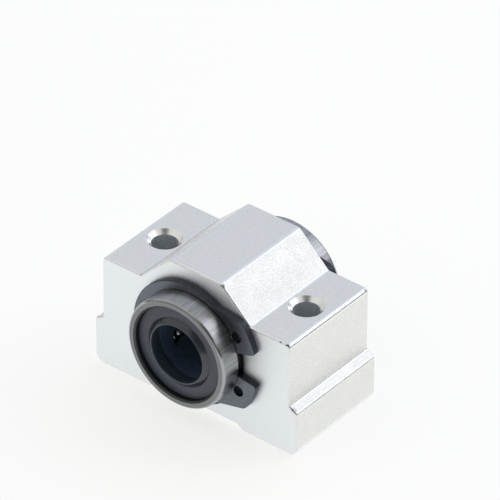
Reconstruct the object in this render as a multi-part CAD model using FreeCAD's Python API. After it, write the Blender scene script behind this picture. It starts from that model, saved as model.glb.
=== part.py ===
import FreeCAD, Part
import math
import os

# A linear bearing block: an aluminium housing with a flat mounting base and two bolt holes carries
# a recirculating ball bearing for a 10 mm shaft. A snap ring on each side of the housing sits in a
# groove of the bearing's steel sleeve and keeps it in place. The sleeve holds a plastic ball
# retainer, four closed circuits of balls, and an end ring and a rubber seal at each end.
#
# Millimetres. The origin is the centre of the underside, X runs from foot to foot, Y along the
# bearing and Z up.

Vector = FreeCAD.Vector

# ---- Driving sizes -------------------------------------------------------------------------

# Bearing
SHAFT_DIAMETER = 10.0
BALL_DIAMETER = 2.0
SLEEVE_DIAMETER = 19.0
SLEEVE_LENGTH = 29.0
SLEEVE_EDGE_RADIUS = 0.5
SLEEVE_END_WALL = 1.35
SLEEVE_MOUTH_CHAMFER = 0.28
RING_GROOVE_SPAN = 22.0
RING_GROOVE_WIDTH = 1.3
RING_GROOVE_DEPTH = 0.5

# Seals and end rings, in the bored ends of the sleeve
SEAL_RECESS = 0.95
SEAL_THICKNESS = 1.3
SEAL_FACE_INNER_DIAMETER = 12.2
LIP_FOOT_DIAMETER = 11.6
LIP_FOOT_HEIGHT = 0.2
LIP_HEIGHT = 0.76
LIP_THICKNESS = 0.3
LIP_LAND = 0.4
LIP_ROOT_GAP = 0.25
END_RING_THICKNESS = 0.6
END_RING_BORE = 11.2

# Ball circuits and their retainer
CIRCUIT_COUNT = 4
FIRST_ROW_ANGLE = 23.0
ROW_SPREAD_ANGLE = 33.0
RETURN_LIFT = 0.6
TURN_RISE_ANGLE = 14.0
RACE_END_RELIEF = 0.3
RETAINER_SHAFT_GAP = 0.2
RETAINER_RACE_GAP = 0.1
RETAINER_COLLAR_LENGTH = 0.5
RETAINER_TURN_WALL = 0.2

# Housing
HOUSING_WIDTH = 40.0
HOUSING_HEIGHT = 26.0
AXIS_HEIGHT = 13.0
UPPER_WIDTH = 36.9
SHOULDER_HEIGHT = 20.5
BEVEL_START_HEIGHT = 8.2
BEVEL_END_HEIGHT = 9.15
HUMP_TOP_WIDTH = 10.0
HUMP_FOOT_WIDTH = 21.6
BASE_CHANNEL_DEPTH = 0.9
BASE_CHANNEL_WIDTH = 18.6
BASE_CHANNEL_CEILING_WIDTH = 16.4
FOOT_EDGE_RADIUS = 1.6
BEVEL_START_RADIUS = 0.5
BEVEL_END_RADIUS = 0.4
SHOULDER_EDGE_RADIUS = 0.75
HUMP_FOOT_RADIUS = 0.6
HUMP_EDGE_RADIUS = 0.9
END_EDGE_BREAK = 0.2
HOUSING_BORE_CHAMFER = 0.25

# Bolt holes: a smaller bolt passes from above, a larger one screws in from below
BOLT_SPACING = 28.0
BOLT_HOLE_DIAMETER = 4.3
COUNTERSINK_DIAMETER = 5.7
THREAD_DIAMETER = 5.0
THREAD_DEPTH = 12.0

# Snap rings
RING_THICKNESS = 1.2
RING_OUTER_RADIUS = 10.73
RING_OFFSET = 0.6
LUG_RADIUS = 13.0
LUG_END_ANGLE = 37.5
LUG_FOOT_ANGLE = 52.5
LUG_CORNER_RADIUS = 0.6
GAP_WIDTH_INSIDE = 4.0
GAP_WIDTH_OUTSIDE = 5.7
PLIER_HOLE_DIAMETER = 1.8
PLIER_HOLE_RADIUS = 10.45
PLIER_HOLE_ANGLE = 28.4
FRONT_GAP_ANGLE = 2.75
REAR_GAP_ANGLE = -1.5

# Clearances between mating pieces
FIT_CLEARANCE = 0.01
BALL_CLEARANCE = 0.03
COLLAR_CLEARANCE = 0.03
RELIEF_CLEARANCE = 0.05

# ---- Sizes that follow ---------------------------------------------------------------------

SHAFT_RADIUS = SHAFT_DIAMETER / 2
BALL_RADIUS = BALL_DIAMETER / 2
SLEEVE_RADIUS = SLEEVE_DIAMETER / 2
SLEEVE_END = SLEEVE_LENGTH / 2
GROOVE_RADIUS = SLEEVE_RADIUS - RING_GROOVE_DEPTH
GROOVE_OUTER_WALL = RING_GROOVE_SPAN / 2
GROOVE_INNER_WALL = GROOVE_OUTER_WALL - RING_GROOVE_WIDTH
HOUSING_LENGTH = 2 * GROOVE_INNER_WALL
END_BORE_RADIUS = SLEEVE_RADIUS - SLEEVE_END_WALL
SEAL_FACE = SLEEVE_END - SEAL_RECESS
SEAL_BACK = SEAL_FACE - SEAL_THICKNESS
END_BORE_SHOULDER = SEAL_BACK - END_RING_THICKNESS
RETAINER_END = END_BORE_SHOULDER - FIT_CLEARANCE

LOAD_ROW_RADIUS = SHAFT_RADIUS + BALL_RADIUS
RETURN_ROW_RADIUS = LOAD_ROW_RADIUS + RETURN_LIFT
RACE_RADIUS = LOAD_ROW_RADIUS + BALL_RADIUS + FIT_CLEARANCE
CHANNEL_RADIUS = BALL_RADIUS + BALL_CLEARANCE

AXIS = Vector(0, 0, AXIS_HEIGHT)
ALONG = Vector(0, 1, 0)

# Two places this close are the same one; a straight edge's box is as slim as this across it
SAME_PLACE = 1e-6
SLIM_BOX = 1e-3


# ---- Helpers -------------------------------------------------------------------------------

def around_axis(radius, angle, y=0.0):
    """The point at that radius and angle round the bearing's axis, 0 towards +X and 90 upwards."""
    turn = math.radians(angle)
    return Vector(radius * math.cos(turn), y, AXIS_HEIGHT + radius * math.sin(turn))


def face_of(points):
    """The flat face with these corners."""
    return Part.Face(Part.makePolygon(points + points[:1]))


def turned(profile):
    """The solid that a closed profile of (radius, y) corners makes when turned about the axis."""
    corners = [Vector(radius, y, AXIS_HEIGHT) for radius, y in profile]
    return face_of(corners).revolve(AXIS, ALONG, 360)


def both_ends(half_profile):
    """A profile that is the same on both sides of the middle, from its half at positive y."""
    return half_profile + [(radius, -y) for radius, y in reversed(half_profile)]


def rod(radius, y_start, y_end, at=AXIS):
    """A round bar along Y, centred on a point of the cross-section."""
    return Part.makeCylinder(radius, y_end - y_start, Vector(at.x, y_start, at.z), ALONG)


def rounded_rim(radius, y, rounding):
    """Profile corners that take a turned outer edge round in three steps, from its end face."""
    corners = []
    for angle in (0, 30, 60, 90):
        turn = math.radians(angle)
        corners.append((
            radius - rounding * (1 - math.sin(turn)),
            y - rounding * (1 - math.cos(turn)),
        ))
    return corners


def edges_along_y(shape, x, z):
    """The straight edges that run along Y at x and -x, at the height z."""
    found = []
    for edge in shape.Edges:
        middle = edge.CenterOfMass
        lies_along_y = edge.BoundBox.XLength < SLIM_BOX and edge.BoundBox.ZLength < SLIM_BOX
        at_place = abs(abs(middle.x) - x) < SAME_PLACE and abs(middle.z - z) < SAME_PLACE
        if lies_along_y and at_place:
            found.append(edge)
    return found


# ---- Housing: extruded aluminium, then machined --------------------------------------------

def housing_section():
    """The extrusion's outline at the rear face: feet, bevelled sides, shoulders and hump."""
    right_half = [
        (BASE_CHANNEL_CEILING_WIDTH / 2, BASE_CHANNEL_DEPTH),
        (BASE_CHANNEL_WIDTH / 2, 0),
        (HOUSING_WIDTH / 2, 0),
        (HOUSING_WIDTH / 2, BEVEL_START_HEIGHT),
        (UPPER_WIDTH / 2, BEVEL_END_HEIGHT),
        (UPPER_WIDTH / 2, SHOULDER_HEIGHT),
        (HUMP_FOOT_WIDTH / 2, SHOULDER_HEIGHT),
        (HUMP_TOP_WIDTH / 2, HOUSING_HEIGHT),
    ]
    outline = right_half + [(-x, z) for x, z in reversed(right_half)]
    return face_of([Vector(x, -HOUSING_LENGTH / 2, z) for x, z in outline])


def bolt_hole(x):
    """One stepped hole: countersunk at both mouths, threaded size from below, clearance above."""
    shaft = Part.makeCylinder(BOLT_HOLE_DIAMETER / 2, SHOULDER_HEIGHT, Vector(x, 0, 0))
    thread = Part.makeCylinder(THREAD_DIAMETER / 2, THREAD_DEPTH, Vector(x, 0, 0))
    mouth = COUNTERSINK_DIAMETER / 2
    top_depth = mouth - BOLT_HOLE_DIAMETER / 2
    top = Part.makeCone(
        BOLT_HOLE_DIAMETER / 2, mouth, top_depth, Vector(x, 0, SHOULDER_HEIGHT - top_depth)
    )
    bottom_depth = mouth - THREAD_DIAMETER / 2
    bottom = Part.makeCone(mouth, THREAD_DIAMETER / 2, bottom_depth, Vector(x, 0, 0))
    return shaft.fuse([thread, top, bottom])


def housing():
    """The extrusion with its long edges rounded and its end edges broken, bored and drilled."""
    block = housing_section().extrude(ALONG * HOUSING_LENGTH)
    rounded_edges = [
        (HOUSING_WIDTH / 2, 0, FOOT_EDGE_RADIUS),
        (HOUSING_WIDTH / 2, BEVEL_START_HEIGHT, BEVEL_START_RADIUS),
        (UPPER_WIDTH / 2, BEVEL_END_HEIGHT, BEVEL_END_RADIUS),
        (UPPER_WIDTH / 2, SHOULDER_HEIGHT, SHOULDER_EDGE_RADIUS),
        (HUMP_FOOT_WIDTH / 2, SHOULDER_HEIGHT, HUMP_FOOT_RADIUS),
        (HUMP_TOP_WIDTH / 2, HOUSING_HEIGHT, HUMP_EDGE_RADIUS),
    ]
    for x, z, radius in rounded_edges:
        block = block.makeFillet(radius, edges_along_y(block, x, z))
    face_y = HOUSING_LENGTH / 2
    end_edges = [
        edge for edge in block.Edges
        if all(abs(abs(vertex.Point.y) - face_y) < SAME_PLACE for vertex in edge.Vertexes)
    ]
    block = block.makeChamfer(END_EDGE_BREAK, end_edges)
    bore_radius = SLEEVE_RADIUS + FIT_CLEARANCE
    bore = turned(both_ends([
        (0, face_y),
        (bore_radius + HOUSING_BORE_CHAMFER, face_y),
        (bore_radius, face_y - HOUSING_BORE_CHAMFER),
    ]))
    holes = [bolt_hole(side * BOLT_SPACING / 2) for side in (-1, 1)]
    return block.cut([bore] + holes)


# ---- Ball circuits -------------------------------------------------------------------------
# Each circuit is a closed track: a load row, where the balls touch shaft and race, a return row
# further out, and a half turn at each end that lifts the balls from one row to the other.

class Turn:
    """The half turn at one end of a circuit, in its own plane, which tilts outwards."""

    def __init__(self, load_angle, end, row_end):
        load = around_axis(LOAD_ROW_RADIUS, load_angle, end * row_end)
        back = around_axis(RETURN_ROW_RADIUS, load_angle + ROW_SPREAD_ANGLE, end * row_end)
        self.centre = (load + back) / 2
        self.radius = (back - load).Length / 2
        self.across = (back - load).normalize()
        outward = ALONG.cross(self.across)
        if outward.dot(self.centre - Vector(0, end * row_end, AXIS_HEIGHT)) < 0:
            outward = -outward
        rise = math.radians(TURN_RISE_ANGLE)
        self.ahead = ALONG * (end * math.cos(rise)) + outward * math.sin(rise)
        self.normal = outward * math.cos(rise) - ALONG * (end * math.sin(rise))

    def point(self, share):
        """A ball's centre, from the load row at 0 to the return row at 1."""
        angle = math.pi * share
        sideways = self.across * (-self.radius * math.cos(angle))
        return self.centre + sideways + self.ahead * (self.radius * math.sin(angle))

    def channel(self):
        """The flat-bottomed half-round channel that the balls turn in, open outwards."""
        reach = self.radius + CHANNEL_RADIUS
        height = CHANNEL_RADIUS + BALL_DIAMETER
        floor = Vector(0, 0, -CHANNEL_RADIUS)
        ring = Part.makeCylinder(reach, height, floor)
        island = Part.makeCylinder(self.radius - CHANNEL_RADIUS, height, floor)
        half = Part.makeBox(2 * reach, reach + RACE_END_RELIEF, height)
        half.translate(Vector(-reach, -RACE_END_RELIEF, -CHANNEL_RADIUS))
        channel = ring.cut(island).common(half)
        turn = FreeCAD.Rotation(self.ahead.cross(self.normal), self.ahead, self.normal, "ZYX")
        channel.Placement = FreeCAD.Placement(self.centre, turn)
        return channel


def from_axis(point):
    """How far a point is from the bearing's axis."""
    return math.hypot(point.x, point.z - AXIS_HEIGHT)


TURN_RADIUS = Turn(0, 1, 0).radius
PEAK_STEPS = 40
TURN_PEAK = max(from_axis(Turn(0, 1, 0).point(i / PEAK_STEPS)) for i in range(PEAK_STEPS + 1))
RELIEF_RADIUS = TURN_PEAK + CHANNEL_RADIUS + RELIEF_CLEARANCE
TURN_REACH = TURN_RADIUS * math.cos(math.radians(TURN_RISE_ANGLE)) + CHANNEL_RADIUS
ROW_END = RETAINER_END - RETAINER_COLLAR_LENGTH - RETAINER_TURN_WALL - TURN_REACH
LOAD_ANGLES = [FIRST_ROW_ANGLE + i * 360 / CIRCUIT_COUNT for i in range(CIRCUIT_COUNT)]


def ball_centres(load_angle):
    """The balls' centres round one circuit, as many as its turns let pass, evenly spread."""
    front = Turn(load_angle, -1, ROW_END)
    rear = Turn(load_angle, 1, ROW_END)
    row_length = 2 * ROW_END
    turn_length = math.pi * TURN_RADIUS
    lap = 2 * (row_length + turn_length)
    pitch = 2 * TURN_RADIUS * math.asin((BALL_RADIUS + FIT_CLEARANCE) / TURN_RADIUS)
    count = math.floor(lap / pitch)
    centres = []
    for i in range(count):
        way = (i + 0.5) * lap / count
        if way < row_length:
            centres.append(around_axis(LOAD_ROW_RADIUS, load_angle, way - ROW_END))
        elif way < row_length + turn_length:
            centres.append(rear.point((way - row_length) / turn_length))
        elif way < 2 * row_length + turn_length:
            y = ROW_END - (way - row_length - turn_length)
            centres.append(around_axis(RETURN_ROW_RADIUS, load_angle + ROW_SPREAD_ANGLE, y))
        else:
            centres.append(front.point(1 - (way - 2 * row_length - turn_length) / turn_length))
    return centres


def ball():
    """One ball as a light solid: eight sides round, four facets from pole to pole."""
    sides = 8
    latitudes = [-45, 0, 45]
    rings = []
    for latitude in latitudes:
        level = BALL_RADIUS * math.sin(math.radians(latitude))
        reach = BALL_RADIUS * math.cos(math.radians(latitude))
        corners = [math.radians(360 * i / sides) for i in range(sides)]
        rings.append([Vector(reach * math.cos(a), reach * math.sin(a), level) for a in corners])
    faces = []
    for i in range(sides):
        following = (i + 1) % sides
        faces.append(face_of([Vector(0, 0, -BALL_RADIUS), rings[0][i], rings[0][following]]))
        faces.append(face_of([Vector(0, 0, BALL_RADIUS), rings[-1][i], rings[-1][following]]))
        for lower, upper in zip(rings, rings[1:]):
            faces.append(face_of([lower[i], lower[following], upper[following], upper[i]]))
    return Part.Solid(Part.Shell(faces))


def ball_circuit(load_angle):
    """All the balls of one circuit, each a solid of its own."""
    one = ball()
    return Part.makeCompound([one.translated(centre) for centre in ball_centres(load_angle)])


def retainer():
    """The moulded cage: a tube with end collars, slotted and channelled for the four circuits."""
    inner = SHAFT_RADIUS + RETAINER_SHAFT_GAP
    outer = RACE_RADIUS - RETAINER_RACE_GAP
    collar = RELIEF_RADIUS - COLLAR_CLEARANCE
    cage = turned(both_ends([
        (inner, RETAINER_END),
        (collar, RETAINER_END),
        (collar, RETAINER_END - RETAINER_COLLAR_LENGTH),
        (outer, RETAINER_END - RETAINER_COLLAR_LENGTH),
    ]))
    for load_angle in LOAD_ANGLES:
        rows = [
            around_axis(LOAD_ROW_RADIUS, load_angle, 0),
            around_axis(RETURN_ROW_RADIUS, load_angle + ROW_SPREAD_ANGLE, 0),
        ]
        cutters = [rod(CHANNEL_RADIUS, -ROW_END, ROW_END, row) for row in rows]
        cutters += [Turn(load_angle, end, ROW_END).channel() for end in (-1, 1)]
        cage = cage.cut(cutters)
    return cage


# ---- Bearing sleeve: hardened and ground steel ---------------------------------------------

def sleeve():
    """The outer sleeve: snap ring grooves outside; race, return grooves and bored ends inside."""
    race_end = ROW_END - RACE_END_RELIEF
    blank = turned(both_ends([
        (RACE_RADIUS, race_end),
        (RELIEF_RADIUS, race_end),
        (RELIEF_RADIUS, END_BORE_SHOULDER),
        (END_BORE_RADIUS, END_BORE_SHOULDER),
        (END_BORE_RADIUS, SLEEVE_END - SLEEVE_MOUTH_CHAMFER),
        (END_BORE_RADIUS + SLEEVE_MOUTH_CHAMFER, SLEEVE_END),
        *rounded_rim(SLEEVE_RADIUS, SLEEVE_END, SLEEVE_EDGE_RADIUS),
        (SLEEVE_RADIUS, GROOVE_OUTER_WALL),
        (GROOVE_RADIUS, GROOVE_OUTER_WALL),
        (GROOVE_RADIUS, GROOVE_INNER_WALL),
        (SLEEVE_RADIUS, GROOVE_INNER_WALL),
    ]))
    grooves = []
    for load_angle in LOAD_ANGLES:
        row = around_axis(RETURN_ROW_RADIUS, load_angle + ROW_SPREAD_ANGLE, 0)
        grooves.append(rod(CHANNEL_RADIUS, -race_end, race_end, row))
    return blank.cut(grooves)


# ---- End rings and seals -------------------------------------------------------------------

def end_ring(end):
    """The steel washer that closes the ball retainer off, against the end bore's shoulder."""
    outer = END_BORE_RADIUS - FIT_CLEARANCE
    inner = END_RING_BORE / 2
    return turned([
        (inner, end * END_BORE_SHOULDER),
        (outer, end * END_BORE_SHOULDER),
        (outer, end * SEAL_BACK),
        (inner, end * SEAL_BACK),
    ])


def seal(end):
    """The rubber seal: a flat ring whose lip flares outwards and wipes the shaft."""
    outer = END_BORE_RADIUS - FIT_CLEARANCE
    face_inner = SEAL_FACE_INNER_DIAMETER / 2
    lip_tip = SEAL_FACE + LIP_HEIGHT
    profile = [
        (SHAFT_RADIUS + LIP_ROOT_GAP, SEAL_BACK),
        (outer, SEAL_BACK),
        (outer, SEAL_FACE),
        (face_inner, SEAL_FACE),
        (LIP_FOOT_DIAMETER / 2, SEAL_FACE + LIP_FOOT_HEIGHT),
        (SHAFT_RADIUS + LIP_THICKNESS, lip_tip),
        (SHAFT_RADIUS, lip_tip),
        (SHAFT_RADIUS, lip_tip - LIP_LAND),
    ]
    return turned([(radius, end * y) for radius, y in profile])


# ---- Snap rings: stamped spring steel ------------------------------------------------------

def ring_outer_point(angle):
    """A point of the ring's outer edge, a circle set off from the bearing's axis."""
    turn = math.radians(angle)
    swing = RING_OFFSET * math.sin(turn)
    radius = math.sqrt(RING_OUTER_RADIUS ** 2 - swing ** 2) - RING_OFFSET * math.cos(turn)
    return around_axis(radius, angle)


def gap_corner(radius, gap_width, side):
    """A corner of the ring's gap, which opens towards +X before the ring is turned."""
    return around_axis(radius, side * math.degrees(math.asin(gap_width / 2 / radius)))


def snap_ring(end, gap_angle):
    """An open ring, widest opposite its gap, with a drilled lug each side of the gap."""
    inner_radius = GROOVE_RADIUS + FIT_CLEARANCE
    edges = []
    for side in (-1, 1):
        inside = gap_corner(inner_radius, GAP_WIDTH_INSIDE, side)
        outside = gap_corner(LUG_RADIUS, GAP_WIDTH_OUTSIDE, side)
        lug_middle = around_axis(LUG_RADIUS, side * LUG_END_ANGLE / 2)
        lug_end = around_axis(LUG_RADIUS, side * LUG_END_ANGLE)
        foot = ring_outer_point(side * LUG_FOOT_ANGLE)
        edges.append(Part.makeLine(inside, outside))
        edges.append(Part.Arc(outside, lug_middle, lug_end).toShape())
        edges.append(Part.makeLine(lug_end, foot))
    outer_ends = [ring_outer_point(-LUG_FOOT_ANGLE), ring_outer_point(LUG_FOOT_ANGLE)]
    edges.append(Part.Arc(outer_ends[0], ring_outer_point(180), outer_ends[1]).toShape())
    inner_ends = [gap_corner(inner_radius, GAP_WIDTH_INSIDE, side) for side in (-1, 1)]
    edges.append(Part.Arc(inner_ends[0], around_axis(inner_radius, 180), inner_ends[1]).toShape())
    outline = Part.Wire(Part.__sortEdges__(edges))
    ring = Part.Face(outline).extrude(ALONG * RING_THICKNESS)
    corners = []
    for side in (-1, 1):
        corners.append(gap_corner(LUG_RADIUS, GAP_WIDTH_OUTSIDE, side))
        corners.append(around_axis(LUG_RADIUS, side * LUG_END_ANGLE))
    rounded = []
    for corner in corners:
        rounded += [
            edge for edge in ring.Edges
            if all(math.hypot(v.X - corner.x, v.Z - corner.z) < SAME_PLACE for v in edge.Vertexes)
        ]
    ring = ring.makeFillet(LUG_CORNER_RADIUS, rounded)
    for side in (-1, 1):
        hole = around_axis(PLIER_HOLE_RADIUS, side * PLIER_HOLE_ANGLE)
        ring = ring.cut(rod(PLIER_HOLE_DIAMETER / 2, 0, RING_THICKNESS, hole))
    ring.rotate(AXIS, ALONG, -gap_angle)
    nearer_face = min(end * GROOVE_INNER_WALL, end * (GROOVE_INNER_WALL + RING_THICKNESS))
    return ring.translated(ALONG * nearer_face)


# ---- The assembly --------------------------------------------------------------------------

pieces = {
    "housing": housing(),
    "bearing_sleeve": sleeve(),
    "ball_retainer": retainer(),
    "front_end_ring": end_ring(-1),
    "rear_end_ring": end_ring(1),
    "front_seal": seal(-1),
    "rear_seal": seal(1),
    "front_snap_ring": snap_ring(-1, FRONT_GAP_ANGLE),
    "rear_snap_ring": snap_ring(1, REAR_GAP_ANGLE),
}
for number, load_angle in enumerate(LOAD_ANGLES, 1):
    pieces[f"ball_circuit_{number}"] = ball_circuit(load_angle)

os.makedirs("parts", exist_ok=True)
for name, shape in pieces.items():
    shape.exportStep(f"parts/{name}.step")
    print(name, len(shape.Solids), "solids", round(shape.Volume, 3), "mm3")
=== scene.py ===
import math

import bmesh
import bpy
from mathutils import Matrix, Vector


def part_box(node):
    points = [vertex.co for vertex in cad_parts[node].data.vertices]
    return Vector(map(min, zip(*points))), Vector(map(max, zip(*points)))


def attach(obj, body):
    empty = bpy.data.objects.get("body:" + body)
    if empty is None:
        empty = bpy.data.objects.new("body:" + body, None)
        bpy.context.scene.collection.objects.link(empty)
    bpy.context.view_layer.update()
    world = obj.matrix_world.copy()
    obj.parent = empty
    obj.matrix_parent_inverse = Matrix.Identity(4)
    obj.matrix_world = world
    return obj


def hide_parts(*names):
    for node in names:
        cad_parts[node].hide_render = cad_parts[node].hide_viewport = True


# A linear bearing block: an aluminium housing on a flat base, and in its bore a recirculating
# ball bearing for a 10 mm shaft, held by a snap ring at each side. The frame is in metres, with
# the origin in the middle of the underside, Y along the bearing and Z up.

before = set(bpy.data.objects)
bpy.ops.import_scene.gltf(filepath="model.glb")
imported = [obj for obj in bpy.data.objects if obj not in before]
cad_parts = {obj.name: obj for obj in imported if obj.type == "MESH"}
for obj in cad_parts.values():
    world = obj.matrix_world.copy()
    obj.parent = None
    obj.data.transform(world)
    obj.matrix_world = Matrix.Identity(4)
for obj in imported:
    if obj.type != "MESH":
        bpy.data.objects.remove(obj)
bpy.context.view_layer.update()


# ---- Housing -------------------------------------------------------------------------------
# A length of extruded aluminium bar, milled across at both ends, bored for the bearing, and
# drilled and tapped for two bolts. It is bead blasted, which leaves a fine pale grain, and its
# edges are only lightly broken, so a few corners carry small knocks.

MM = 0.001
SECTION_HALF = [
    (8.2, 0.9), (9.3, 0.0), (20.0, 0.0), (20.0, 8.2),
    (18.45, 9.15), (18.45, 20.5), (10.8, 20.5), (5.0, 26.0),
]
ROUNDED_EDGES = [
    (20.0, 0.0, 1.6), (20.0, 8.2, 0.5), (18.45, 9.15, 0.4),
    (18.45, 20.5, 0.75), (10.8, 20.5, 0.6), (5.0, 26.0, 0.9),
]
END_BREAK = 0.28
SHOULDER_HEIGHT = 20.5
BORE_CHAMFER = 0.25
BOLT_X = 14.0
BOLT_RADIUS = 2.15
BOLT_MOUTH_RADIUS = 2.85
THREAD_RADIUS = 2.5
THREAD_PITCH = 0.8
THREAD_TOP = 12.0
THREAD_FLANK = 30.0
THREAD_CREST = 0.1
FIT_GAP = 0.01
CUT_PAST = 0.1

block_low, block_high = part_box("housing")
sleeve_low, sleeve_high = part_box("bearing_sleeve")
bearing_axis = (sleeve_low + sleeve_high) / 2
bearing_radius = (sleeve_high.x - sleeve_low.x) / 2


def spun_mesh(profile, centre, axis, steps=160):
    """A closed turned solid. The profile is (radius, way along the axis) in millimetres."""
    mesh = bmesh.new()
    outward = Vector((1, 0, 0))
    corners = [mesh.verts.new(centre + (outward * r + axis * way) * MM) for r, way in profile]
    edges = [mesh.edges.new(pair) for pair in zip(corners, corners[1:] + corners[:1])]
    bmesh.ops.spin(
        mesh, geom=corners + edges, cent=centre, axis=axis, angle=math.tau, steps=steps,
        use_merge=True,
    )
    bmesh.ops.remove_doubles(mesh, verts=mesh.verts, dist=MM / 10000)
    bmesh.ops.recalc_face_normals(mesh, faces=mesh.faces)
    return mesh


def new_piece(name, mesh, sharp_angle=35.0):
    """An object from a bmesh, shaded smooth apart from edges sharper than that angle."""
    for face in mesh.faces:
        face.smooth = True
    for edge in mesh.edges:
        edge.smooth = edge.calc_face_angle(math.pi) < math.radians(sharp_angle)
    data = bpy.data.meshes.new(name)
    mesh.to_mesh(data)
    mesh.free()
    piece = bpy.data.objects.new(name, data)
    bpy.context.scene.collection.objects.link(piece)
    return piece


def cut(mesh, tools):
    """The solid with the tools' solids cut out of it."""
    whole = new_piece("whole", mesh)
    cutters = [new_piece("cutter", tool) for tool in tools]
    for cutter in cutters:
        step = whole.modifiers.new("cut", "BOOLEAN")
        step.operation, step.solver, step.object = "DIFFERENCE", "EXACT", cutter
    shape = whole.evaluated_get(bpy.context.evaluated_depsgraph_get())
    result = bmesh.new()
    result.from_mesh(bpy.data.meshes.new_from_object(shape))
    for used in [whole] + cutters:
        bpy.data.objects.remove(used)
    return result


def housing_blank():
    """The extrusion with its long edges rounded and the edges of its ends broken."""
    mesh = bmesh.new()
    outline = SECTION_HALF + [(-x, z) for x, z in reversed(SECTION_HALF)]
    near, far = block_low.y + END_BREAK * MM, block_high.y - END_BREAK * MM
    end = mesh.faces.new([mesh.verts.new((x * MM, near, z * MM)) for x, z in outline])
    pushed = bmesh.ops.extrude_face_region(mesh, geom=[end])["geom"]
    far_end = [item for item in pushed if isinstance(item, bmesh.types.BMVert)]
    bmesh.ops.translate(mesh, verts=far_end, vec=(0, far - near, 0))
    bmesh.ops.recalc_face_normals(mesh, faces=mesh.faces)
    for x, z, radius in ROUNDED_EDGES:
        edges = [
            edge for edge in mesh.edges
            if all(abs(abs(v.co.x) - x * MM) + abs(v.co.z - z * MM) < MM / 1000 for v in edge.verts)
            and edge.verts[0].co.x * edge.verts[1].co.x > 0
            and edge.calc_length() > far - near - MM
        ]
        bmesh.ops.bevel(
            mesh, geom=edges, affect="EDGES", segments=8, profile=0.5, material=-1,
            offset=radius * MM * math.tan(edges[0].calc_face_angle() / 2),
        )
    for end in [face for face in mesh.faces if abs(face.normal.y) > 0.9]:
        turns = [math.radians(turn) for turn in (0, 30, 60, 90)]
        for start, stop in zip(turns, turns[1:]):
            bmesh.ops.inset_region(
                mesh, faces=[end], use_even_offset=True,
                thickness=END_BREAK * MM * (math.cos(start) - math.cos(stop)),
                depth=END_BREAK * MM * (math.sin(stop) - math.sin(start)),
            )
    return mesh


def thread_groove(foot):
    """The winding groove that a tap cuts in a bolt hole, as a solid."""
    mesh = bmesh.new()
    reach = 0.5
    crest = THREAD_CREST / 2
    half = reach * math.tan(math.radians(THREAD_FLANK)) + crest
    inner = THREAD_RADIUS - reach
    section = [(inner, -half), (THREAD_RADIUS, -crest), (THREAD_RADIUS, crest), (inner, half)]
    corners = [mesh.verts.new(foot + Vector((r, 0, z)) * MM) for r, z in section]
    edges = [mesh.edges.new(pair) for pair in zip(corners, corners[1:] + corners[:1])]
    steps_a_turn = 36
    turns = (THREAD_TOP - half) / THREAD_PITCH
    bmesh.ops.spin(
        mesh, geom=corners + edges, cent=foot, axis=(0, 0, 1), angle=math.tau * turns,
        dvec=(0, 0, THREAD_PITCH * MM / steps_a_turn), steps=round(turns * steps_a_turn),
    )
    bmesh.ops.holes_fill(mesh, edges=[edge for edge in mesh.edges if edge.is_boundary], sides=4)
    bmesh.ops.recalc_face_normals(mesh, faces=mesh.faces)
    return mesh


length = (block_high.y - block_low.y) / 2 / MM
bore = bearing_radius / MM + FIT_GAP
bore_profile = [
    (0, length + CUT_PAST),
    (bore + BORE_CHAMFER + CUT_PAST, length + CUT_PAST),
    (bore, length - BORE_CHAMFER),
]
bore_profile += [(radius, -way) for radius, way in reversed(bore_profile)]
holes = [spun_mesh(bore_profile, bearing_axis, Vector((0, 1, 0)))]
sink = BOLT_MOUTH_RADIUS - BOLT_RADIUS
mouth = BOLT_MOUTH_RADIUS + CUT_PAST
bolt_profile = [
    (0, -CUT_PAST),
    (mouth, -CUT_PAST),
    (BOLT_RADIUS, sink),
    (BOLT_RADIUS, SHOULDER_HEIGHT - sink),
    (mouth, SHOULDER_HEIGHT + CUT_PAST),
    (0, SHOULDER_HEIGHT + CUT_PAST),
]
for side in (-1, 1):
    foot = Vector((side * BOLT_X * MM, 0, 0))
    holes.append(spun_mesh(bolt_profile, foot, Vector((0, 0, 1)), steps=96))
    holes.append(thread_groove(foot))
housing = new_piece("housing_body", cut(housing_blank(), holes))


def add_node(tree, kind, inputs=(), **options):
    """A shader node with its options set and its inputs given a value or a link."""
    new = tree.nodes.new(kind)
    for name, value in options.items():
        setattr(new, name, value)
    for name, value in dict(inputs).items():
        if isinstance(value, bpy.types.NodeSocket):
            tree.links.new(value, new.inputs[name])
        else:
            new.inputs[name].default_value = value
    return new


def new_finish(name, **settings):
    """A material, its node tree and its shader, with the shader's even values set."""
    material = bpy.data.materials.new(name)
    material.use_nodes = True
    shader = material.node_tree.nodes["Principled BSDF"]
    for socket, value in settings.items():
        shader.inputs[socket.replace("_", " ")].default_value = value
    return material, material.node_tree, shader


def place_in_mm(tree, stretch=(1, 1, 1)):
    """The place on the piece in millimetres, from the bearing's axis, stretched if asked."""
    place = add_node(tree, "ShaderNodeTexCoord").outputs["Object"]
    from_axis = add_node(
        tree, "ShaderNodeVectorMath", {0: place, 1: bearing_axis}, operation="SUBTRACT"
    )
    scale = tuple(share / MM for share in stretch)
    return add_node(
        tree, "ShaderNodeVectorMath", {0: from_axis.outputs[0], 1: scale}, operation="MULTIPLY"
    ).outputs[0]


def noise(tree, place, size, detail=3.0, roughness=0.6):
    """Noise whose spots are about that many millimetres across."""
    return add_node(
        tree, "ShaderNodeTexNoise",
        {"Vector": place, "Scale": 1 / size, "Detail": detail, "Roughness": roughness},
    ).outputs["Fac"]


def ramp(tree, value, low, high, colours):
    """The value between low and high turned into a colour between the two given."""
    blend = add_node(tree, "ShaderNodeValToRGB", {"Fac": value})
    for stop, position, colour in zip(blend.color_ramp.elements, (low, high), colours):
        stop.position = position
        stop.color = (*colour, 1)
    return blend.outputs["Color"]


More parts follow.
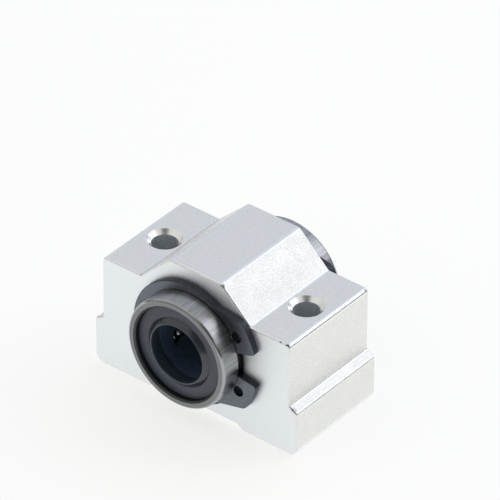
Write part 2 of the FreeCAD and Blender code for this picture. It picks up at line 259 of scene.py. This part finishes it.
def spread(tree, value, low, high):
    """Noise mapped to run between two values."""
    return add_node(
        tree, "ShaderNodeMapRange",
        {"Value": value, "From Min": 0.3, "From Max": 0.7, "To Min": low, "To Max": high},
    ).outputs["Result"]


BLASTED_TINTS = [(0.80, 0.80, 0.777), (0.94, 0.94, 0.912)]
RUBBED_TINTS = [(0.87, 0.873, 0.877), (0.95, 0.953, 0.957)]
DRILLED_TINTS = [(0.86, 0.89, 0.93), (0.94, 0.96, 0.985)]
KNOCK_COLOUR = (0.06, 0.06, 0.065, 1)
KNOCKED_CORNERS = [
    ((18.1, -9.65, 20.45), 0.55), ((5.35, -9.6, 25.85), 0.6), ((19.3, -9.65, 8.7), 0.7),
    ((16.6, -9.65, 20.45), 0.25), ((18.4, 9.3, 20.3), 0.4), ((-10.9, -9.65, 20.6), 0.4),
]


def knocks(tree, place):
    """How dark the small dents at the knocked corners are, from 0 to 1."""
    depth = 0.0
    for corner, reach in KNOCKED_CORNERS:
        from_axis = Vector(corner) - bearing_axis / MM
        way = add_node(
            tree, "ShaderNodeVectorMath", {0: place, 1: from_axis}, operation="DISTANCE"
        ).outputs["Value"]
        near = add_node(
            tree, "ShaderNodeMapRange",
            {"Value": way, "From Min": reach / 2, "From Max": reach, "To Min": 1.0, "To Max": 0.0},
        ).outputs["Result"]
        depth = add_node(
            tree, "ShaderNodeMath", {0: depth, 1: near}, operation="MAXIMUM"
        ).outputs["Value"]
    crumbs = spread(tree, noise(tree, place, 0.25, detail=1.0), -0.6, 1.8)
    return add_node(
        tree, "ShaderNodeMath", {0: depth, 1: crumbs}, operation="MULTIPLY", use_clamp=True
    ).outputs["Value"]


def aluminium(name, tints, roughness, grain_depth):
    """Pale metal. The grain is the fine even one of bead blasting."""
    material, tree, shader = new_finish(name, Metallic=1.0)
    place = place_in_mm(tree)
    grain = noise(tree, place, 0.22, detail=2.0)
    clouds = noise(tree, place, 2.5, detail=2.0)
    tint = ramp(tree, grain, 0.35, 0.65, tints)
    marked = add_node(
        tree, "ShaderNodeMix",
        {"Factor": knocks(tree, place), 6: tint, 7: KNOCK_COLOUR}, data_type="RGBA",
    ).outputs[2]
    tree.links.new(marked, shader.inputs["Base Color"])
    low, high = roughness
    tree.links.new(spread(tree, clouds, low, high), shader.inputs["Roughness"])
    relief = add_node(
        tree, "ShaderNodeBump", {"Height": grain, "Strength": 1.0, "Distance": grain_depth * MM}
    )
    tree.links.new(relief.outputs["Normal"], shader.inputs["Normal"])
    return material


def drilled_aluminium():
    """The walls of the bore and the bolt holes, dull, with the rings that a cutter leaves."""
    material, tree, shader = new_finish("drilled_aluminium", Metallic=1.0)
    rings = noise(tree, place_in_mm(tree, (0.2, 0.2, 1)), 0.15, detail=2.0)
    tint = ramp(tree, rings, 0.3, 0.7, DRILLED_TINTS)
    tree.links.new(tint, shader.inputs["Base Color"])
    tree.links.new(spread(tree, rings, 0.42, 0.52), shader.inputs["Roughness"])
    return material


outline_ways = [
    (Vector(after) - Vector(before)).normalized()
    for before, after in zip(SECTION_HALF, SECTION_HALF[1:])
]
FLAT_WITHIN = math.cos(math.radians(2.5))
DRILLED_RADIUS = 2.6
DRILLED_HEIGHTS = (0.1, 19.7)
BORE_REACH = 0.3
LEANS_TO_END = 0.2
UPRIGHT_WITHIN = 0.3


def is_flat(face):
    """True on the extrusion's flat faces and its ends, false where an edge is rounded."""
    across = Vector((abs(face.normal.x), face.normal.z))
    facing = [abs(face.normal.y)] + [abs(way.cross(across)) for way in outline_ways]
    return max(facing) > FLAT_WITHIN


def finish_of(face):
    """Which finish a face has: 0 blasted, 1 an edge or countersink rubbed smooth, 2 drilled."""
    middle = face.center
    from_bore = math.hypot(middle.x, middle.z - bearing_axis.z)
    from_bolt = math.hypot(abs(middle.x) - BOLT_X * MM, middle.y)
    low, high = DRILLED_HEIGHTS
    in_bolt_hole = from_bolt < DRILLED_RADIUS * MM and low * MM < middle.z < high * MM
    if in_bolt_hole or from_bore < bearing_radius + BORE_REACH * MM:
        return 2
    is_upright = abs(face.normal.z) < UPRIGHT_WITHIN
    on_upright_end_edge = is_upright and abs(face.normal.y) > LEANS_TO_END
    return int(not is_flat(face) and not on_upright_end_edge)


for finish in (
    aluminium("blasted_aluminium", BLASTED_TINTS, roughness=(0.42, 0.48), grain_depth=0.06),
    aluminium("rubbed_aluminium", RUBBED_TINTS, roughness=(0.22, 0.3), grain_depth=0.01),
    drilled_aluminium(),
):
    housing.data.materials.append(finish)
for face in housing.data.polygons:
    face.material_index = finish_of(face)
flat_normals = housing.modifiers.new("flat faces stay flat", "WEIGHTED_NORMAL")
flat_normals.keep_sharp = True
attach(housing, "root")
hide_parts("housing")


# ---- Bearing sleeve ------------------------------------------------------------------------
# Hardened bearing steel, ground outside and on its ends, with a groove near each end for the
# snap rings. Grinding leaves fine streaks. Inside are the race and four scallops that give the
# returning balls room.

sleeve_half_length = (sleeve_high.y - sleeve_low.y) / 2 / MM
sleeve_radius = bearing_radius / MM
END_WALL = 1.35
EDGE_RADIUS = 0.5
MOUTH_CHAMFER = 0.28
GROOVE_NEAR = 9.7
GROOVE_FAR = 11.0
GROOVE_DEPTH = 0.5
RACE_RADIUS = 7.01
RACE_END = 7.85
RELIEF_RADIUS = 7.78
END_BORE_SHOULDER = 11.65
RETURN_ROWS = 4
RETURN_ROW_WAY = 6.6
RETURN_ROW_RADIUS = 1.03
RETURN_ROW_ANGLE = 56.0
STREAKED_TINTS = [(0.27, 0.276, 0.281), (0.45, 0.458, 0.465)]
# The end faces get a darker grey than the rest of the ground steel: painted shade for the dark they
# reflect.
END_PAINTED_SHADE_TINTS = [(0.20, 0.204, 0.21), (0.245, 0.25, 0.256)]
HONED_TINTS = [(0.33, 0.337, 0.343), (0.42, 0.428, 0.435)]
# Near black for the ring grooves and the inside of the sleeve: painted shade of the hollows.
GROOVE_PAINTED_SHADE_TINTS = [(0.05, 0.052, 0.056), (0.1, 0.102, 0.106)]
FACES_END = 0.9
LEANS_ENDWARDS = 0.1


def arc(centre, radius, start, end, steps):
    """Points of a round stretch of a profile, between two angles from the radius direction."""
    turns = [math.radians(start + (end - start) * i / steps) for i in range(steps + 1)]
    return [(centre[0] + radius * math.cos(t), centre[1] + radius * math.sin(t)) for t in turns]


end_bore = sleeve_radius - END_WALL
rim_centre = (sleeve_radius - EDGE_RADIUS, sleeve_half_length - EDGE_RADIUS)
sleeve_half = [
    (RACE_RADIUS, RACE_END),
    (RELIEF_RADIUS, RACE_END),
    (RELIEF_RADIUS, END_BORE_SHOULDER),
    (end_bore, END_BORE_SHOULDER),
    (end_bore, sleeve_half_length - MOUTH_CHAMFER),
    (end_bore + MOUTH_CHAMFER, sleeve_half_length),
    *arc(rim_centre, EDGE_RADIUS, 90, 0, 8),
    (sleeve_radius, GROOVE_FAR),
    (sleeve_radius - GROOVE_DEPTH, GROOVE_FAR),
    (sleeve_radius - GROOVE_DEPTH, GROOVE_NEAR),
    (sleeve_radius, GROOVE_NEAR),
]
sleeve_profile = sleeve_half + [(radius, -way) for radius, way in reversed(sleeve_half)]
sleeve_turned = spun_mesh(sleeve_profile, bearing_axis, Vector((0, 1, 0)), steps=192)
scallop_end = RACE_END + CUT_PAST
scallop_profile = [
    (0, -scallop_end),
    (RETURN_ROW_RADIUS, -scallop_end),
    (RETURN_ROW_RADIUS, scallop_end),
    (0, scallop_end),
]
scallops = []
for number in range(RETURN_ROWS):
    turn = math.radians(RETURN_ROW_ANGLE + 360 / RETURN_ROWS * number)
    row = bearing_axis + Vector((math.cos(turn), 0, math.sin(turn))) * RETURN_ROW_WAY * MM
    scallops.append(spun_mesh(scallop_profile, row, Vector((0, 1, 0)), steps=40))
sleeve = new_piece("sleeve", cut(sleeve_turned, scallops))


def ground_steel(name, tints, roughness=(0.28, 0.35)):
    """Grey steel, ground bright, with fine streaks along the bearing."""
    material, tree, shader = new_finish(name, Metallic=1.0)
    streaks = noise(tree, place_in_mm(tree, (1, 0.04, 1)), 0.32, detail=4.0, roughness=0.75)
    tint = ramp(tree, streaks, 0.34, 0.64, tints)
    tree.links.new(tint, shader.inputs["Base Color"])
    low, high = roughness
    tree.links.new(spread(tree, streaks, low, high), shader.inputs["Roughness"])
    return material


def groove_painted_shade():
    """The turned snap ring grooves, the inside of the sleeve and its chamfered mouth, near black:
    painted shade.
    """
    material, tree, shader = new_finish("groove_painted_shade", Metallic=1.0)
    scale = noise(tree, place_in_mm(tree), 0.4)
    tint = ramp(tree, scale, 0.3, 0.7, GROOVE_PAINTED_SHADE_TINTS)
    tree.links.new(tint, shader.inputs["Base Color"])
    tree.links.new(spread(tree, scale, 0.4, 0.5), shader.inputs["Roughness"])
    return material


for finish in (
    ground_steel("ground_steel", STREAKED_TINTS),
    groove_painted_shade(),
    ground_steel("ground_end_painted_shade", END_PAINTED_SHADE_TINTS),
    ground_steel("honed_edge", HONED_TINTS, roughness=(0.12, 0.18)),
):
    sleeve.data.materials.append(finish)
for face in sleeve.data.polygons:
    way = abs(face.center.y) / MM
    out = math.hypot(face.center.x, face.center.z - bearing_axis.z) / MM
    # The ring grooves, the mouth chamfer and all the inside take the near black: painted shade.
    in_ring_groove = GROOVE_NEAR < way < GROOVE_FAR and RELIEF_RADIUS + 1 < out < sleeve_radius
    if in_ring_groove or out < end_bore + MOUTH_CHAMFER:
        face.material_index = 1
    # End faces take the darker grey: painted shade.
    elif abs(face.normal.y) > FACES_END:
        face.material_index = 2
    elif way > GROOVE_FAR and abs(face.normal.y) > LEANS_ENDWARDS:
        face.material_index = 3
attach(sleeve, "root")
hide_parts("bearing_sleeve")


# ---- Ball retainer and end rings -----------------------------------------------------------
# The retainer is moulded in dark blue-grey plastic, and the end rings are oxidised steel washers
# pressed in behind the seals. Both keep the shape they have in the frame.

PLASTIC_TINTS = [(0.043, 0.068, 0.112), (0.072, 0.112, 0.178)]
OXIDE_TINTS = [(0.12, 0.15, 0.19), (0.18, 0.22, 0.27)]


def moulded_plastic():
    """Dark blue-grey moulded plastic with a faint mottle."""
    material, tree, shader = new_finish("moulded_plastic", IOR=1.5)
    mottle = noise(tree, place_in_mm(tree), 0.4)
    tint = ramp(tree, mottle, 0.3, 0.7, PLASTIC_TINTS)
    tree.links.new(tint, shader.inputs["Base Color"])
    tree.links.new(spread(tree, mottle, 0.38, 0.5), shader.inputs["Roughness"])
    return material


def blackened_steel():
    """Rolled steel with a thin dark oxide skin."""
    material, tree, shader = new_finish("blackened_steel", Metallic=1.0)
    mottle = noise(tree, place_in_mm(tree), 0.5)
    tint = ramp(tree, mottle, 0.3, 0.7, OXIDE_TINTS)
    tree.links.new(tint, shader.inputs["Base Color"])
    tree.links.new(spread(tree, mottle, 0.35, 0.5), shader.inputs["Roughness"])
    return material


def finish_node(name, material):
    """Gives a piece of the frame its finish."""
    for material_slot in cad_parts[name].material_slots:
        material_slot.material = material


finish_node("ball_retainer", moulded_plastic())
end_ring_finish = blackened_steel()
for name in ("front_end_ring", "rear_end_ring"):
    finish_node(name, end_ring_finish)


# ---- Ball circuits -------------------------------------------------------------------------
# Eighty polished steel balls of 2 mm, in four closed circuits. Each ball stands where the frame
# has its plain one.

BALL_RADIUS = 1.0
BALL_ROUNDNESS = 4
BALL_CIRCUITS = 4
BALL_TINTS = [(0.40, 0.41, 0.42), (0.50, 0.51, 0.52)]


def ball_places(node):
    """The middle of every separate solid of a node."""
    mesh = bmesh.new()
    mesh.from_mesh(node.data)
    bmesh.ops.remove_doubles(mesh, verts=mesh.verts, dist=MM / 1000)
    left = set(mesh.verts)
    places = []
    while left:
        group, edge_of_group = set(), [left.pop()]
        while edge_of_group:
            corner = edge_of_group.pop()
            group.add(corner)
            near = {edge.other_vert(corner) for edge in corner.link_edges} & left
            left -= near
            edge_of_group += near
        lows = [min(v.co[i] for v in group) for i in range(3)]
        highs = [max(v.co[i] for v in group) for i in range(3)]
        places.append((Vector(lows) + Vector(highs)) / 2)
    mesh.free()
    return sorted(places, key=tuple)


def polished_steel():
    """Bright steel with the slightest haze of oil."""
    material, tree, shader = new_finish("polished_steel", Metallic=1.0)
    haze = noise(tree, place_in_mm(tree), 0.3)
    tint = ramp(tree, haze, 0.3, 0.7, BALL_TINTS)
    tree.links.new(tint, shader.inputs["Base Color"])
    tree.links.new(spread(tree, haze, 0.08, 0.14), shader.inputs["Roughness"])
    return material


ball_finish = polished_steel()
for number in range(1, BALL_CIRCUITS + 1):
    mesh = bmesh.new()
    for centre in ball_places(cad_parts[f"ball_circuit_{number}"]):
        bmesh.ops.create_icosphere(
            mesh, subdivisions=BALL_ROUNDNESS, radius=BALL_RADIUS * MM,
            matrix=Matrix.Translation(centre),
        )
    balls = new_piece(f"steel_balls_{number}", mesh, sharp_angle=90)
    balls.data.materials.append(ball_finish)
    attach(balls, "root")
    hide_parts(f"ball_circuit_{number}")


# ---- Seals ---------------------------------------------------------------------------------
# A moulded nitrile ring in each end of the sleeve. Its flat face ends in a thin raised lip that
# flares outwards and would wipe the shaft.

SEAL_FACE = 13.55
SEAL_BACK = 12.25
SHAFT_RADIUS = 5.0
LIP_TIP = 14.31
LIP_FOOT_RADIUS = 5.8
LIP_FILLET = 0.35
MOULDED_EDGE = 0.12
DUSTY_TINTS = [(0.041, 0.049, 0.070), (0.068, 0.081, 0.111)]
# The inner wall round the shaft is darker than the face: painted shade inside the bore.
BORE_PAINTED_SHADE_TINTS = [(0.022, 0.033, 0.053), (0.037, 0.054, 0.083)]
# The lip's tip is a lighter rubber: a painted highlight along the lip edge.
LIP_PAINTED_HIGHLIGHT_TINTS = [(0.07, 0.08, 0.095), (0.12, 0.13, 0.15)]
LIP_TINTS = [(0.018, 0.024, 0.036), (0.028, 0.036, 0.052)]

seal_outer = end_bore - FIT_GAP
face_edge_centre = (seal_outer - MOULDED_EDGE, SEAL_FACE - MOULDED_EDGE)
fillet_centre = (LIP_FOOT_RADIUS + 0.45, SEAL_FACE + LIP_FILLET)
tip_centre = (SHAFT_RADIUS + 0.17, LIP_TIP - MOULDED_EDGE)
seal_profile = [
    (SHAFT_RADIUS + 0.25, SEAL_BACK),
    (seal_outer, SEAL_BACK),
    *arc(face_edge_centre, MOULDED_EDGE, 0, 90, 4),
    *arc(fillet_centre, LIP_FILLET, 270, 205, 6),
    *arc(tip_centre, MOULDED_EDGE, 35, 160, 6),
    (SHAFT_RADIUS, LIP_TIP - 0.25),
    (SHAFT_RADIUS, LIP_TIP - 0.4),
]


def nitrile_rubber(name, tints, roughness=(0.36, 0.48), gloss=1.52):
    """Dark rubber, satin and faintly dusty."""
    material, tree, shader = new_finish(name, IOR=gloss)
    dust = noise(tree, place_in_mm(tree), 0.35, detail=5.0)
    tint = ramp(tree, dust, 0.3, 0.75, tints)
    tree.links.new(tint, shader.inputs["Base Color"])
    low, high = roughness
    tree.links.new(spread(tree, dust, low, high), shader.inputs["Roughness"])
    return material


seal_finishes = [
    nitrile_rubber("dusty_rubber", DUSTY_TINTS),
    nitrile_rubber("rubber_in_painted_shade", BORE_PAINTED_SHADE_TINTS),
    nitrile_rubber("lip_edge_painted_highlight", LIP_PAINTED_HIGHLIGHT_TINTS, roughness=(0.25, 0.35)),
    nitrile_rubber("smooth_lip", LIP_TINTS, roughness=(0.2, 0.28), gloss=1.7),
]
for name, facing in (("front", -1), ("rear", 1)):
    outwards = Vector((0, facing, 0))
    seal_mesh = spun_mesh(seal_profile, bearing_axis, outwards, steps=128)
    seal = new_piece(f"{name}_lip_seal", seal_mesh)
    for finish in seal_finishes:
        seal.data.materials.append(finish)
    for face in seal.data.polygons:
        way = abs(face.center.y) / MM
        out = math.hypot(face.center.x, face.center.z - bearing_axis.z) / MM
        # The tip of the lip takes the lighter rubber: painted highlight.
        if way > LIP_TIP - 0.1 and out < SHAFT_RADIUS + 0.2:
            face.material_index = 2
        # Faces round the shaft take the darker rubber: painted shade.
        elif out < SHAFT_RADIUS + 0.26:
            face.material_index = 1
        elif way > SEAL_FACE and out < LIP_FOOT_RADIUS + 0.25:
            face.material_index = 3
    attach(seal, "root")
    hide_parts(f"{name}_seal")


# ---- Snap rings ----------------------------------------------------------------------------
# Stamped from spring steel strip and phosphated dark grey. Each sits in a groove of the sleeve
# against the housing, with two lugs that have holes for the pliers.

RING_THICKNESS = 1.2
RING_OUTER_RADIUS = 10.73
RING_OFFSET = 0.6
LUG_RADIUS = 13.0
LUG_END_ANGLE = 37.5
LUG_FOOT_ANGLE = 52.5
LUG_CORNER_RADIUS = 0.6
GAP_INSIDE = 4.0
GAP_OUTSIDE = 5.7
PLIER_HOLE_RADIUS = 0.9
PLIER_HOLE_WAY = 10.45
PLIER_HOLE_ANGLE = 28.4
RING_EDGE = 0.1
# Within this band of radii, round the plier holes and along the outer edge, every face that is not
# flat takes the dark edge colour: painted shade that hides the rims' highlights.
PAINTED_SHADE_RIM_BAND = (9.58, 11.45)
FRONT_GAP_ANGLE = 2.75
REAR_GAP_ANGLE = -1.5
FLAT_FACING = 0.97
WALL_FACING = 0.3
COATED_TINTS = [(0.126, 0.137, 0.163), (0.182, 0.197, 0.23)]
# Sheared edges and walls are darker than the coated faces: partly the bare sheared steel, partly
# painted shade.
SHEARED_AND_SHADE_TINTS = [(0.04, 0.044, 0.052), (0.08, 0.086, 0.1)]


def ring_outline():
    """Corners of a ring whose gap opens towards +X, from its upper lug round to its lower one."""
    inner = sleeve_radius - GROOVE_DEPTH + 0.01
    swing = RING_OFFSET * math.sin(math.radians(LUG_FOOT_ANGLE))
    foot_turn = LUG_FOOT_ANGLE + math.degrees(math.asin(swing / RING_OUTER_RADIUS))
    gap_in = math.degrees(math.asin(GAP_INSIDE / 2 / inner))
    gap_out = math.degrees(math.asin(GAP_OUTSIDE / 2 / LUG_RADIUS))
    return [
        *arc((0, 0), LUG_RADIUS, gap_out, LUG_END_ANGLE, 12),
        *arc((-RING_OFFSET, 0), RING_OUTER_RADIUS, foot_turn, 360 - foot_turn, 150),
        *arc((0, 0), LUG_RADIUS, -LUG_END_ANGLE, -gap_out, 12),
        *arc((0, 0), inner, 360 - gap_in, gap_in, 190),
    ]


def snap_ring_mesh(facing, gap_angle):
    """A stamped ring with rounded lugs, plier holes and slightly rounded edges."""
    mesh = bmesh.new()
    flat = mesh.faces.new([mesh.verts.new((x * MM, 0, z * MM)) for x, z in ring_outline()])
    pushed = bmesh.ops.extrude_face_region(mesh, geom=[flat])["geom"]
    moved = [item for item in pushed if isinstance(item, bmesh.types.BMVert)]
    bmesh.ops.translate(mesh, verts=moved, vec=(0, facing * RING_THICKNESS * MM, 0))
    bmesh.ops.recalc_face_normals(mesh, faces=mesh.faces)
    lug_corners = [
        edge for edge in mesh.edges
        if edge.calc_face_angle(0) > math.radians(40)
        and abs(edge.verts[0].co.y - edge.verts[1].co.y) > RING_THICKNESS * MM / 2
        and edge.verts[0].co.xz.length > (LUG_RADIUS - 0.1) * MM
    ]
    bmesh.ops.bevel(
        mesh, geom=lug_corners, affect="EDGES", segments=6, profile=0.5, material=-1,
        offset=LUG_CORNER_RADIUS * MM,
    )
    start, stop = -0.5, RING_THICKNESS + 0.5
    punch = [(0, start), (PLIER_HOLE_RADIUS, start), (PLIER_HOLE_RADIUS, stop), (0, stop)]
    punches = []
    for side in (-1, 1):
        turn = math.radians(side * PLIER_HOLE_ANGLE)
        centre = Vector((math.cos(turn), 0, math.sin(turn))) * PLIER_HOLE_WAY * MM
        punches.append(spun_mesh(punch, centre, Vector((0, facing, 0)), steps=40))
    mesh = cut(mesh, punches)
    rims = [
        edge for edge in mesh.edges
        if edge.calc_face_angle(0) > math.radians(60)
        and abs(edge.verts[0].co.y - edge.verts[1].co.y) < MM / 1000
    ]
    bmesh.ops.bevel(
        mesh, geom=rims, affect="EDGES", segments=3, profile=0.5, material=-1,
        offset=RING_EDGE * MM,
    )
    place = bearing_axis + Vector((0, facing * GROOVE_NEAR * MM, 0))
    bmesh.ops.transform(
        mesh, verts=mesh.verts,
        matrix=Matrix.Translation(place) @ Matrix.Rotation(math.radians(-gap_angle), 4, "Y"),
    )
    return mesh


def phosphated_steel(name, tints, roughness):
    """Dark grey phosphate coat on steel, a little uneven."""
    material, tree, shader = new_finish(name, Metallic=1.0)
    mottle = noise(tree, place_in_mm(tree), 0.3, detail=5.0)
    tint = ramp(tree, mottle, 0.3, 0.7, tints)
    tree.links.new(tint, shader.inputs["Base Color"])
    low, high = roughness
    tree.links.new(spread(tree, mottle, low, high), shader.inputs["Roughness"])
    return material


# The second finish, on edges and walls, is partly the sheared steel and partly painted shade.
ring_finishes = [
    phosphated_steel("phosphated_face", COATED_TINTS, roughness=(0.3, 0.4)),
    phosphated_steel("sheared_edge_and_painted_shade", SHEARED_AND_SHADE_TINTS, roughness=(0.35, 0.5)),
]
for name, facing, gap_angle in (("front", -1, FRONT_GAP_ANGLE), ("rear", 1, REAR_GAP_ANGLE)):
    ring = new_piece(f"{name}_retaining_ring", snap_ring_mesh(facing, gap_angle))
    for finish in ring_finishes:
        ring.data.materials.append(finish)
    for face in ring.data.polygons:
        # Near the plier holes and the outer edge even the rounded edges take the dark colour:
        # painted shade.
        out = (face.center - bearing_axis).xz.length / MM
        rim_in_painted_shade = PAINTED_SHADE_RIM_BAND[0] < out < PAINTED_SHADE_RIM_BAND[1]
        dark_below = FLAT_FACING if rim_in_painted_shade else WALL_FACING
        face.material_index = int(abs(face.normal.y) < dark_below)
    ring.modifiers.new("flat faces stay flat", "WEIGHTED_NORMAL").keep_sharp = True
    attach(ring, "root")
    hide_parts(f"{name}_snap_ring")


# ---- Floor, light and camera ---------------------------------------------------------------
# A white table in a soft white tent with a broad window behind it to the right. The tent stays
# darker low on the right and round the opening in its front.

FLOOR_HALF = 0.6
TABLE_COLOUR = (0.35, 0.35, 0.347, 1)
TABLE_GLOW = (0.987, 1.0, 0.985, 1)
GLOW_STRENGTH = 0.72
FRONT_CLOTH = (0.755, 0.752, 0.712)
REAR_CLOTH = (0.70, 0.742, 0.855)
CLOTH_CHANGE = (0.1, 0.6)
NO_SHADE = (1, 1, 1)
LOW_SHADE = (0.11, 0.11, 0.12)
LOW_SHADE_HEIGHTS = (0.18, 0.45)
OPENING_SHADE = (0.12, 0.12, 0.13)
OPENING_RIM = (0.88, 0.95)
BACKDROP = (0.9, 0.91, 0.92, 1)
TENT_OPENING = Vector((0.48, -0.60, 0.64))
WHITE_SIDE = Vector((-0.8, 0.6, 0))

floor_mesh = bmesh.new()
bmesh.ops.create_grid(floor_mesh, x_segments=1, y_segments=1, size=FLOOR_HALF)
floor = new_piece("floor", floor_mesh)
lit_table = new_finish(
    "lit_table", Roughness=0.9, Base_Color=TABLE_COLOUR, Emission_Color=TABLE_GLOW,
    Emission_Strength=GLOW_STRENGTH,
)[0]
floor.data.materials.append(lit_table)

world = bpy.data.worlds.new("tent")
bpy.context.scene.world = world
world.use_nodes = True
sky = world.node_tree
direction = add_node(sky, "ShaderNodeTexCoord").outputs["Generated"]


def towards(side):
    """How far a direction in the tent points to that side."""
    return add_node(
        sky, "ShaderNodeVectorMath", {0: direction, 1: side}, operation="DOT_PRODUCT"
    ).outputs["Value"]


lift = add_node(
    sky, "ShaderNodeMapRange",
    {"Value": towards(WHITE_SIDE), "From Min": 0.0, "From Max": 0.5, "To Min": 0.0, "To Max": 0.2},
).outputs["Result"]
height = add_node(
    sky, "ShaderNodeMath", {0: towards(Vector((0, 0, 1))), 1: lift}, operation="ADD"
).outputs["Value"]
rear_share = add_node(
    sky, "ShaderNodeMapRange",
    {
        "Value": towards(Vector((0, 1, 0))),
        "From Min": CLOTH_CHANGE[0], "From Max": CLOTH_CHANGE[1],
    },
).outputs["Result"]
cloth = ramp(sky, rear_share, 0.0, 1.0, [FRONT_CLOTH, REAR_CLOTH])
shade = ramp(sky, height, *LOW_SHADE_HEIGHTS, [LOW_SHADE, NO_SHADE])
walls = add_node(
    sky, "ShaderNodeVectorMath", {0: cloth, 1: shade}, operation="MULTIPLY"
).outputs[0]
opening = ramp(sky, towards(TENT_OPENING), *OPENING_RIM, [NO_SHADE, OPENING_SHADE])
tent = add_node(
    sky, "ShaderNodeVectorMath", {0: walls, 1: opening}, operation="MULTIPLY"
).outputs[0]
seen = add_node(sky, "ShaderNodeLightPath").outputs["Is Camera Ray"]
shown = add_node(
    sky, "ShaderNodeMix", {"Factor": seen, 6: tent, 7: BACKDROP}, data_type="RGBA"
).outputs[2]
sky.links.new(shown, sky.nodes["Background"].inputs["Color"])

LAMP_AZIMUTH = 50
LAMP_ELEVATION = 36
LAMP_DISTANCE = 0.6
LAMP_SIZE = 0.36
LAMP_WATTS = 0.49

lamp_data = bpy.data.lights.new("window_lamp", "AREA")
lamp_data.size, lamp_data.energy = LAMP_SIZE, LAMP_WATTS
lamp = bpy.data.objects.new("window_lamp", lamp_data)
bpy.context.scene.collection.objects.link(lamp)
around, up = math.radians(LAMP_AZIMUTH), math.radians(LAMP_ELEVATION)
lamp_way = Vector((math.cos(around) * math.cos(up), math.sin(around) * math.cos(up), math.sin(up)))
lamp.location = bearing_axis + lamp_way * LAMP_DISTANCE
lamp.rotation_euler = lamp_way.to_track_quat("Z", "Y").to_euler()
lamp.visible_camera = False

CAMERA_AZIMUTH = 38.70
CAMERA_ELEVATION = 36.21
CAMERA_ROLL = 0.308
CAMERA_DISTANCE = 1.0
CAMERA_LENS = 466.2
AIM_RIGHT = 2.32
AIM_UP = 9.53

turn, rise, roll = (
    math.radians(angle) for angle in (CAMERA_AZIMUTH, CAMERA_ELEVATION, CAMERA_ROLL)
)
back = Vector((math.sin(turn) * math.cos(rise), -math.cos(turn) * math.cos(rise), math.sin(rise)))
level = Vector((math.cos(turn), math.sin(turn), 0))
upright = back.cross(level)
right = level * math.cos(roll) + upright * math.sin(roll)
up = upright * math.cos(roll) - level * math.sin(roll)

camera_data = bpy.data.cameras.new("camera")
camera_data.lens = CAMERA_LENS
camera_data.clip_start, camera_data.clip_end = 0.1, 10.0
camera = bpy.data.objects.new("camera", camera_data)
bpy.context.scene.collection.objects.link(camera)
bpy.context.scene.camera = camera
stand = bearing_axis + back * CAMERA_DISTANCE
aim = bearing_axis + (right * AIM_RIGHT + up * AIM_UP) * MM
look = (stand - aim).normalized()
side = up.cross(look).normalized()
camera.matrix_world = Matrix.Translation(stand) @ Matrix(
    (side, look.cross(side), look)
).transposed().to_4x4()

bpy.context.scene.view_settings.view_transform = "Standard"
